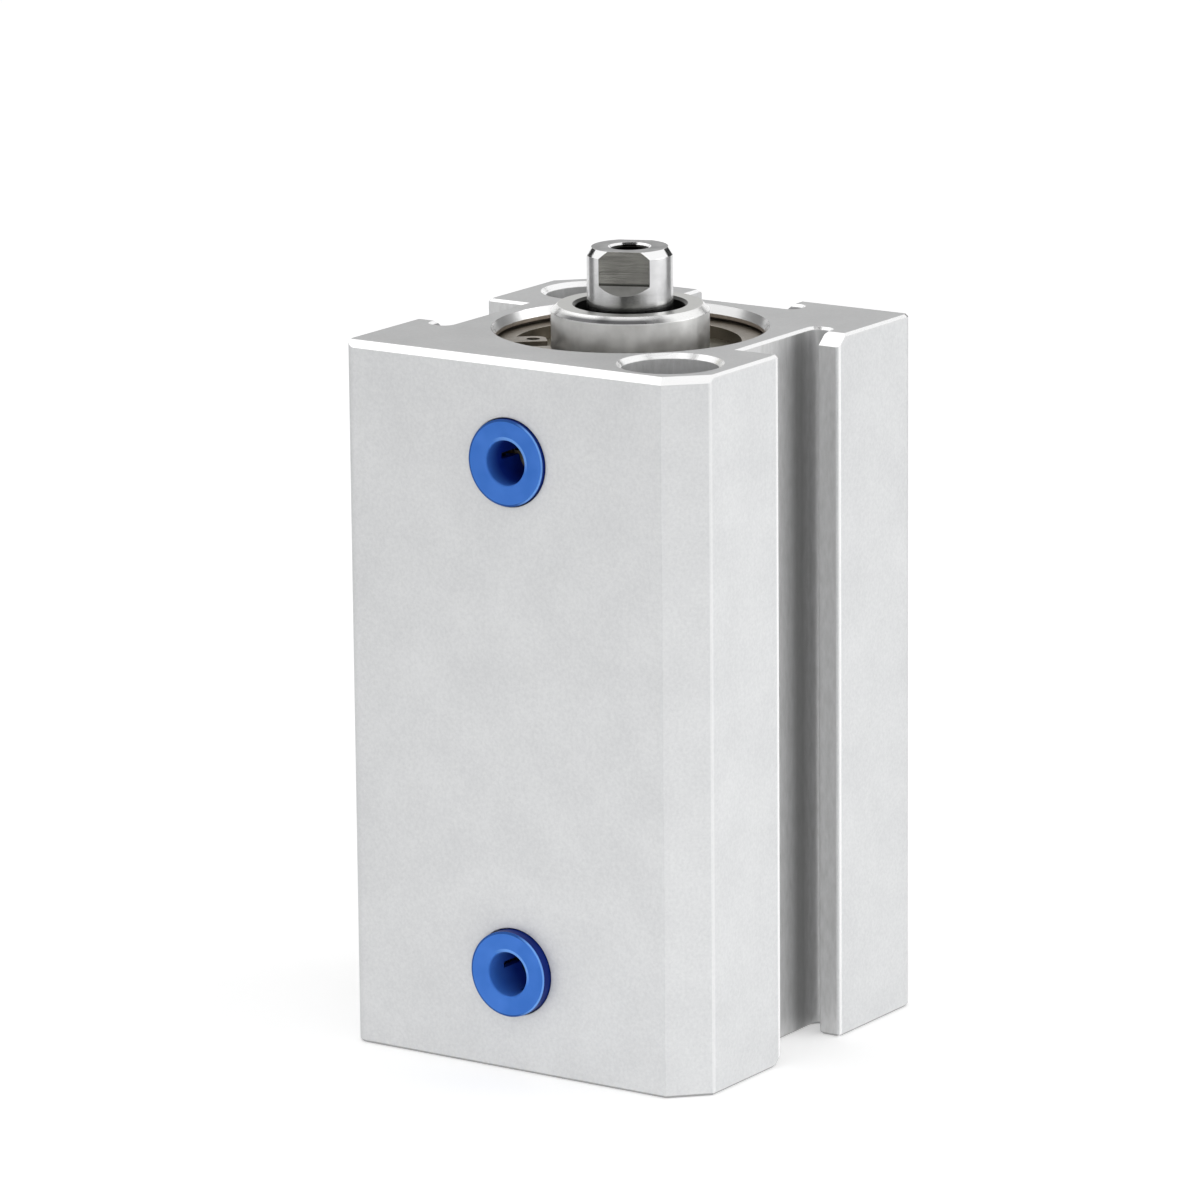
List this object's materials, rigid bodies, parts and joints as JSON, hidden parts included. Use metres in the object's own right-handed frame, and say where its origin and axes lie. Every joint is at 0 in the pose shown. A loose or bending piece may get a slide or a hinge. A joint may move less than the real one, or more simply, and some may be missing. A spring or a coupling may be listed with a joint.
{
  "type": "compact pneumatic cylinder",
  "caption": "Square extruded double-acting pneumatic cylinder with a short flatted rod, push-in tube fittings on one side and hooked sensor grooves on the others.",
  "frame": {"origin": "centre of the barrel's rear face", "axes": "+Z along the rod, out of the rod end; the tube fittings face -Y"},
  "size_m": [0.038, 0.0391, 0.0745],
  "materials": {
    "anodised_barrel": "fine matt blasted and clear anodised",
    "turned_aluminium": "turned, clear anodised",
    "polished_steel": "ground and polished rod steel",
    "spring_steel": "phosphated or plain spring steel",
    "plated_steel": "zinc plated",
    "bearing_bronze": "sintered bronze, oil filled",
    "plated_brass": "nickel plated",
    "nitrile_rubber": "matt black",
    "bumper_urethane": "amber polyurethane",
    "guide_polymer": "filled bearing polymer",
    "bonded_magnet": "dark bonded ferrite",
    "blue_polymer": "moulded acetal, satin"
  },
  "bodies": {
    "barrel": {"barrel": "anodised_barrel", "front_cover": "turned_aluminium", "front_cover_o_ring": "nitrile_rubber", "front_retaining_ring": "spring_steel", "rod_bush": "bearing_bronze", "rod_seal": "nitrile_rubber", "rear_cover": "turned_aluminium", "rear_cover_o_ring": "nitrile_rubber", "rear_retaining_ring": "spring_steel", "upper_port_guide": "plated_brass", "upper_grab_ring": "spring_steel", "upper_tube_seal": "nitrile_rubber", "lower_port_guide": "plated_brass", "lower_grab_ring": "spring_steel", "lower_tube_seal": "nitrile_rubber"},
    "piston_guide": {"piston_seal": "nitrile_rubber", "wear_ring": "guide_polymer"},
    "rod": {"piston_rod": "polished_steel", "rod_o_ring": "nitrile_rubber", "piston_front_half": "turned_aluminium", "piston_rear_half": "turned_aluminium", "magnet_ring": "bonded_magnet", "front_bumper": "bumper_urethane", "rear_bumper": "bumper_urethane", "piston_nut": "plated_steel"},
    "upper_sleeve": {"upper_release_sleeve": "blue_polymer"},
    "lower_sleeve": {"lower_release_sleeve": "blue_polymer"}
  },
  "joints": [
    {"name": "rod_slide", "type": "slide", "parent": "barrel", "child": "piston_guide", "axis": [0, 0, 1], "range_m": [0, 0.03]},
    {"name": "rod_turn", "type": "hinge", "parent": "piston_guide", "child": "rod", "pos_m": [0, 0, 0.0185], "axis": [0, 0, 1], "continuous": true},
    {"name": "upper_sleeve_push", "type": "slide", "parent": "barrel", "child": "upper_sleeve", "axis": [0, 1, 0], "range_m": [-0.00065, 0.00045]},
    {"name": "lower_sleeve_push", "type": "slide", "parent": "barrel", "child": "lower_sleeve", "axis": [0, 1, 0], "range_m": [0, 0.0011]}
  ]
}
